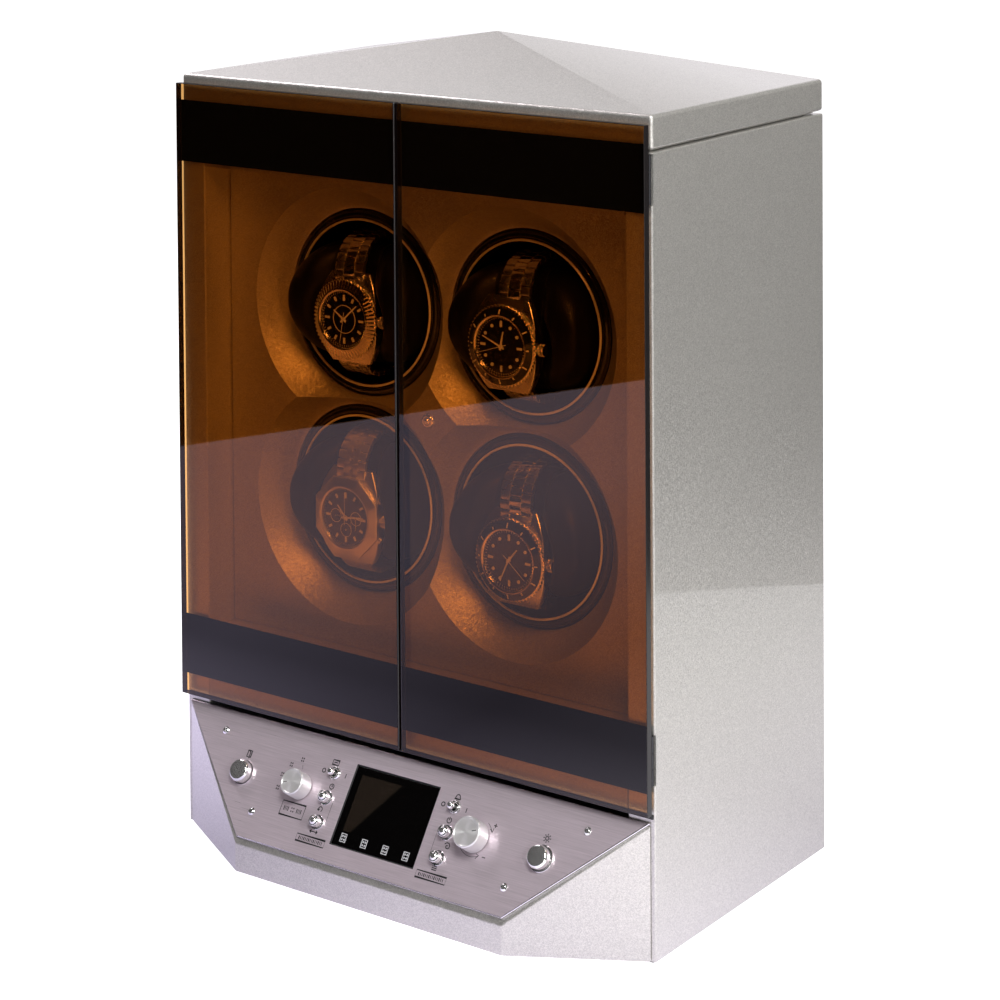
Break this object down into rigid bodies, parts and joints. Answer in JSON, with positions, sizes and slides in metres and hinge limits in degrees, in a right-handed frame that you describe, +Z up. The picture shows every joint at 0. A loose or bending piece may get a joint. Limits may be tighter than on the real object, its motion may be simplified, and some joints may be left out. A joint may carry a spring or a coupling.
{
  "type": "watch winder box",
  "caption": "Upright watch winder cabinet with a low pyramid lid, bronze glass doors, turning cups with soft watch cushions, and a slanted control console.",
  "frame": {"origin": "on the ground under the plan centre of the cabinet body, on the underside of its felt pad", "axes": "+X to the right seen from the front, -Y towards the front with the doors and the console, +Z up"},
  "size_m": [0.3, 0.2036, 0.433],
  "materials": {
    "silver_lacquer": "high-gloss silver lacquer with fine metallic flake over board",
    "back_board_lacquer": "satin silver lacquer over board",
    "bronze_glass": "polished bronze-tinted glass, with opaque black bands printed on the back",
    "brushed_aluminium": "brushed across its width, clear anodised",
    "spun_aluminium": "spun face, polished chamfer",
    "chrome": "mirror polish",
    "gloss_black_plastic": "high gloss, with a thin bright trim line at the cup's rim",
    "display_glass": "glossy black display window",
    "matte_black_plastic": "matte",
    "black_cushion_cover": "smooth glossy black leatherette over foam",
    "steel": "satin",
    "circuit_board": "solder mask",
    "base_felt": "black felt"
  },
  "bodies": {
    "cabinet": {"side_panel_left": "silver_lacquer", "side_panel_right": "silver_lacquer", "bottom_panel": "silver_lacquer", "top_panel": "silver_lacquer", "compartment_floor": "silver_lacquer", "lower_front_rail": "silver_lacquer", "upper_front_rail": "silver_lacquer", "pyramid_lid": "silver_lacquer", "fascia_panel": "silver_lacquer", "console_shell": "silver_lacquer", "back_panel": "back_board_lacquer", "control_plate": "brushed_aluminium", "compartment_lamp": "chrome", "plate_screw_upper_left": "chrome", "plate_screw_upper_right": "chrome", "plate_screw_lower_left": "chrome", "plate_screw_lower_right": "chrome", "winder_housing_upper_left": "gloss_black_plastic", "winder_housing_upper_right": "gloss_black_plastic", "winder_housing_lower_left": "gloss_black_plastic", "winder_housing_lower_right": "gloss_black_plastic", "display_module": "display_glass", "door_catch": "matte_black_plastic", "power_jack": "matte_black_plastic", "gear_motor_upper_left": "steel", "gear_motor_upper_right": "steel", "gear_motor_lower_left": "steel", "gear_motor_lower_right": "steel", "hinge_cabinet_leaf_lower_left": "steel", "hinge_cabinet_leaf_lower_right": "steel", "hinge_cabinet_leaf_upper_left": "steel", "hinge_cabinet_leaf_upper_right": "steel", "control_board": "circuit_board", "base_felt": "base_felt"},
    "left_door": {"door_glass_left": "bronze_glass", "door_strike_left": "steel", "hinge_door_leaf_lower_left": "steel", "hinge_door_leaf_upper_left": "steel"},
    "right_door": {"door_glass_right": "bronze_glass", "door_strike_right": "steel", "hinge_door_leaf_lower_right": "steel", "hinge_door_leaf_upper_right": "steel"},
    "winder_cup_upper_left": {"cup_upper_left": "gloss_black_plastic", "cushion_upper_left": "black_cushion_cover"},
    "winder_cup_upper_right": {"cup_upper_right": "gloss_black_plastic", "cushion_upper_right": "black_cushion_cover"},
    "winder_cup_lower_left": {"cup_lower_left": "gloss_black_plastic", "cushion_lower_left": "black_cushion_cover"},
    "winder_cup_lower_right": {"cup_lower_right": "gloss_black_plastic", "cushion_lower_right": "black_cushion_cover"},
    "moving_cup_select_knob": {"cup_select_knob": "spun_aluminium"},
    "moving_adjust_knob": {"adjust_knob": "spun_aluminium"},
    "moving_door_button": {"door_button": "chrome"},
    "moving_light_button": {"light_button": "chrome"},
    "moving_timer_button": {"timer_button": "chrome"},
    "moving_direction_button": {"direction_button": "chrome"},
    "moving_turns_button": {"turns_button": "chrome"},
    "moving_mode_button": {"mode_button": "chrome"},
    "moving_display_light_toggle": {"display_light_toggle": "chrome"},
    "moving_alarm_toggle": {"alarm_toggle": "chrome"}
  },
  "joints": [
    {"name": "left_door_hinge", "type": "hinge", "parent": "cabinet", "child": "left_door", "pos_m": [-0.1488, -0.0833, 0.239], "axis": [0, 0, -1], "range_deg": [0, 95]},
    {"name": "right_door_hinge", "type": "hinge", "parent": "cabinet", "child": "right_door", "pos_m": [0.1488, -0.0833, 0.239], "axis": [0, 0, 1], "range_deg": [0, 95]},
    {"name": "cup_spin_upper_left", "type": "hinge", "parent": "cabinet", "child": "winder_cup_upper_left", "pos_m": [-0.0533, -0.0482, 0.2902], "axis": [0, -1, 0], "continuous": true},
    {"name": "cup_spin_upper_right", "type": "hinge", "parent": "cabinet", "child": "winder_cup_upper_right", "pos_m": [0.0533, -0.0482, 0.2902], "axis": [0, -1, 0], "continuous": true},
    {"name": "cup_spin_lower_left", "type": "hinge", "parent": "cabinet", "child": "winder_cup_lower_left", "pos_m": [-0.0533, -0.0482, 0.1856], "axis": [0, -1, 0], "continuous": true},
    {"name": "cup_spin_lower_right", "type": "hinge", "parent": "cabinet", "child": "winder_cup_lower_right", "pos_m": [0.0533, -0.0482, 0.1856], "axis": [0, -1, 0], "continuous": true},
    {"name": "cup_select_turn", "type": "hinge", "parent": "cabinet", "child": "moving_cup_select_knob", "pos_m": [-0.056, -0.09977, 0.04687], "axis": [0, 0.8177, -0.5757], "range_deg": [0, 84]},
    {"name": "adjust_turn", "type": "hinge", "parent": "cabinet", "child": "moving_adjust_knob", "pos_m": [0.056, -0.09977, 0.04687], "axis": [0, 0.8177, -0.5757], "continuous": true},
    {"name": "door_button_press", "type": "slide", "parent": "cabinet", "child": "moving_door_button", "axis": [0, 0.8177, -0.5757], "range_m": [0, 0.002], "stiffness_N_per_m": 400},
    {"name": "light_button_press", "type": "slide", "parent": "cabinet", "child": "moving_light_button", "axis": [0, 0.8177, -0.5757], "range_m": [0, 0.002], "stiffness_N_per_m": 400},
    {"name": "timer_button_press", "type": "slide", "parent": "cabinet", "child": "moving_timer_button", "axis": [0, 0.8177, -0.5757], "range_m": [0, 0.0012], "stiffness_N_per_m": 300},
    {"name": "direction_button_press", "type": "slide", "parent": "cabinet", "child": "moving_direction_button", "axis": [0, 0.8177, -0.5757], "range_m": [0, 0.0012], "stiffness_N_per_m": 300},
    {"name": "turns_button_press", "type": "slide", "parent": "cabinet", "child": "moving_turns_button", "axis": [0, 0.8177, -0.5757], "range_m": [0, 0.0012], "stiffness_N_per_m": 300},
    {"name": "mode_button_press", "type": "slide", "parent": "cabinet", "child": "moving_mode_button", "axis": [0, 0.8177, -0.5757], "range_m": [0, 0.0012], "stiffness_N_per_m": 300},
    {"name": "display_light_toggle_flip", "type": "hinge", "parent": "cabinet", "child": "moving_display_light_toggle", "pos_m": [-0.0386, -0.09344, 0.05586], "axis": [0, 0.5757, 0.8177], "range_deg": [0, 24]},
    {"name": "alarm_toggle_flip", "type": "hinge", "parent": "cabinet", "child": "moving_alarm_toggle", "pos_m": [0.0386, -0.09344, 0.05586], "axis": [0, 0.5757, 0.8177], "range_deg": [0, 24]}
  ]
}
